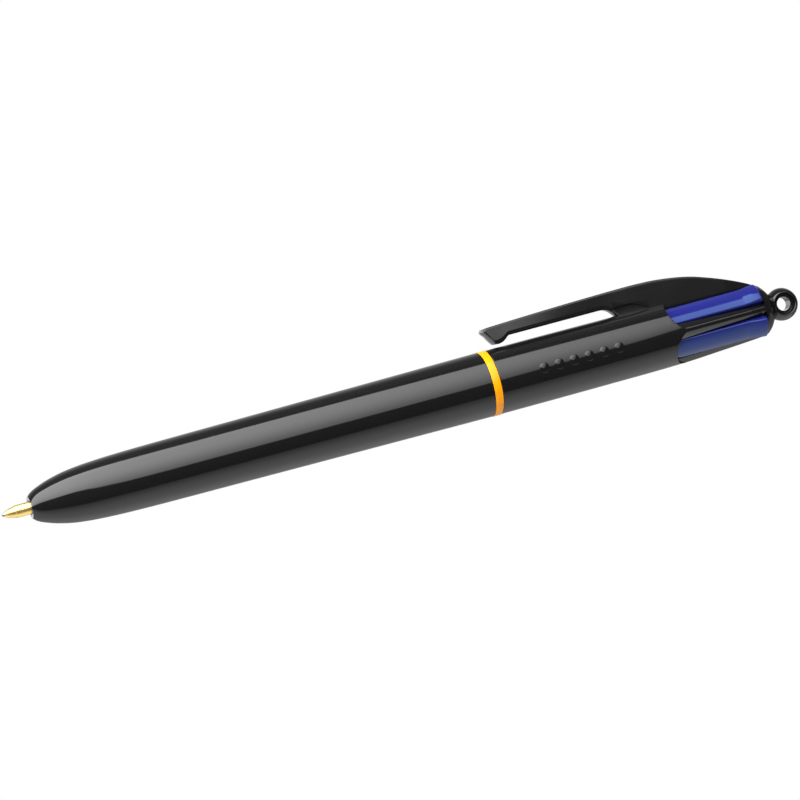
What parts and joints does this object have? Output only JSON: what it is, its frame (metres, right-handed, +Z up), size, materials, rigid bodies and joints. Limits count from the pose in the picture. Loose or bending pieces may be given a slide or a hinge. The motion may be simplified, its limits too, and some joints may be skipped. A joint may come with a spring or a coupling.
{
  "type": "multicolor click pen",
  "caption": "Multicolor click pen: black two-part barrel with a yellow joint ring, blue thumb sliders in rear slots, pocket clip, lanyard ball and refills that bend to one nose.",
  "frame": {"origin": "middle of the pen's length and width, at the lowest point of the joint ring, with the clip on top", "axes": "+X along the pen from the writing tip to the lanyard ball, +Z up through the pocket clip, +Y to the right seen from the ball's end"},
  "size_m": [0.1492, 0.0116, 0.016],
  "materials": {
    "black_plastic": "polished black polycarbonate",
    "yellow_plastic": "smooth yellow",
    "blue_plastic": "smooth dark blue",
    "white_plastic": "plain moulded",
    "refill_tube": "translucent tube with ink inside",
    "brass": "turned and polished",
    "spring_steel": "drawn wire"
  },
  "bodies": {
    "upper_barrel": {"upper_barrel": "black_plastic", "end_cap": "black_plastic", "clip_fin": "black_plastic", "guide_disc": "white_plastic", "center_post": "white_plastic", "spring_top_left": "spring_steel", "spring_bottom_left": "spring_steel", "spring_bottom_right": "spring_steel", "spring_top_right": "spring_steel"},
    "joint_ring": {"joint_ring": "yellow_plastic"},
    "lower_barrel": {"lower_barrel": "black_plastic"},
    "clip_arm": {"clip_arm": "black_plastic"},
    "slider_top_left": {"slider_top_left": "blue_plastic", "refill_tube_top_left": "refill_tube"},
    "refill_tip_top_left": {"refill_tip_top_left": "brass", "writing_ball_top_left": "spring_steel"},
    "slider_bottom_left": {"slider_bottom_left": "blue_plastic", "refill_tube_bottom_left": "refill_tube"},
    "refill_tip_bottom_left": {"refill_tip_bottom_left": "brass", "writing_ball_bottom_left": "spring_steel"},
    "slider_bottom_right": {"slider_bottom_right": "blue_plastic", "refill_tube_bottom_right": "refill_tube"},
    "refill_tip_bottom_right": {"refill_tip_bottom_right": "brass", "writing_ball_bottom_right": "spring_steel"},
    "slider_top_right": {"slider_top_right": "blue_plastic", "refill_tube_top_right": "refill_tube"},
    "refill_tip_top_right": {"refill_tip_top_right": "brass", "writing_ball_top_right": "spring_steel"}
  },
  "joints": [
    {"name": "barrel_unscrew_travel", "type": "slide", "parent": "upper_barrel", "child": "joint_ring", "axis": [-1, 0, 0], "range_m": [0, 0.004]},
    {"name": "barrel_unscrew", "type": "hinge", "parent": "joint_ring", "child": "lower_barrel", "pos_m": [0.01515, 0, 0.00583], "axis": [-1, 0, 0], "range_deg": [0, 721]},
    {"name": "clip_flex", "type": "hinge", "parent": "upper_barrel", "child": "clip_arm", "pos_m": [0.0389, 0, 0.01453], "axis": [0, 1, 0], "range_deg": [0, 3], "stiffness_Nm_per_rad": 0.002},
    {"name": "slider_top_left_slide", "type": "slide", "parent": "upper_barrel", "child": "slider_top_left", "axis": [-1, 0, 0], "range_m": [0, 0.01], "stiffness_N_per_m": 10, "springref_m": -0.002, "deforming": ["spring_top_left"]},
    {"name": "refill_bend_top_left", "type": "slide", "parent": "slider_top_left", "child": "refill_tip_top_left", "axis": [0, 0.7071, -0.7071], "range_m": [0, 0.0025], "deforming": ["refill_tube_top_left", "refill_tip_top_left", "writing_ball_top_left"]},
    {"name": "slider_bottom_left_slide", "type": "slide", "parent": "upper_barrel", "child": "slider_bottom_left", "axis": [-1, 0, 0], "range_m": [0, 0.01], "stiffness_N_per_m": 10, "springref_m": -0.002, "deforming": ["spring_bottom_left"]},
    {"name": "refill_bend_bottom_left", "type": "slide", "parent": "slider_bottom_left", "child": "refill_tip_bottom_left", "axis": [0, 0.7071, 0.7071], "range_m": [0, 0.0025], "deforming": ["refill_tube_bottom_left", "refill_tip_bottom_left", "writing_ball_bottom_left"]},
    {"name": "slider_bottom_right_slide", "type": "slide", "parent": "upper_barrel", "child": "slider_bottom_right", "axis": [-1, 0, 0], "range_m": [-0.01, 0], "deforming": ["spring_bottom_right"]},
    {"name": "refill_bend_bottom_right", "type": "slide", "parent": "slider_bottom_right", "child": "refill_tip_bottom_right", "axis": [0, -0.7071, 0.7071], "range_m": [-0.0025, 0], "deforming": ["refill_tube_bottom_right", "refill_tip_bottom_right", "writing_ball_bottom_right"]},
    {"name": "slider_top_right_slide", "type": "slide", "parent": "upper_barrel", "child": "slider_top_right", "axis": [-1, 0, 0], "range_m": [0, 0.01], "stiffness_N_per_m": 10, "springref_m": -0.002, "deforming": ["spring_top_right"]},
    {"name": "refill_bend_top_right", "type": "slide", "parent": "slider_top_right", "child": "refill_tip_top_right", "axis": [0, -0.7071, -0.7071], "range_m": [0, 0.0025], "deforming": ["refill_tube_top_right", "refill_tip_top_right", "writing_ball_top_right"]}
  ],
  "couplings": [
    {"joint": "barrel_unscrew", "follows": "barrel_unscrew_travel", "rad_per_m": 3141.6},
    {"joint": "refill_bend_top_left", "follows": "slider_top_left_slide", "ratio": 0.25},
    {"joint": "refill_bend_bottom_left", "follows": "slider_bottom_left_slide", "ratio": 0.25},
    {"joint": "refill_bend_bottom_right", "follows": "slider_bottom_right_slide", "ratio": 0.25},
    {"joint": "refill_bend_top_right", "follows": "slider_top_right_slide", "ratio": 0.25}
  ]
}
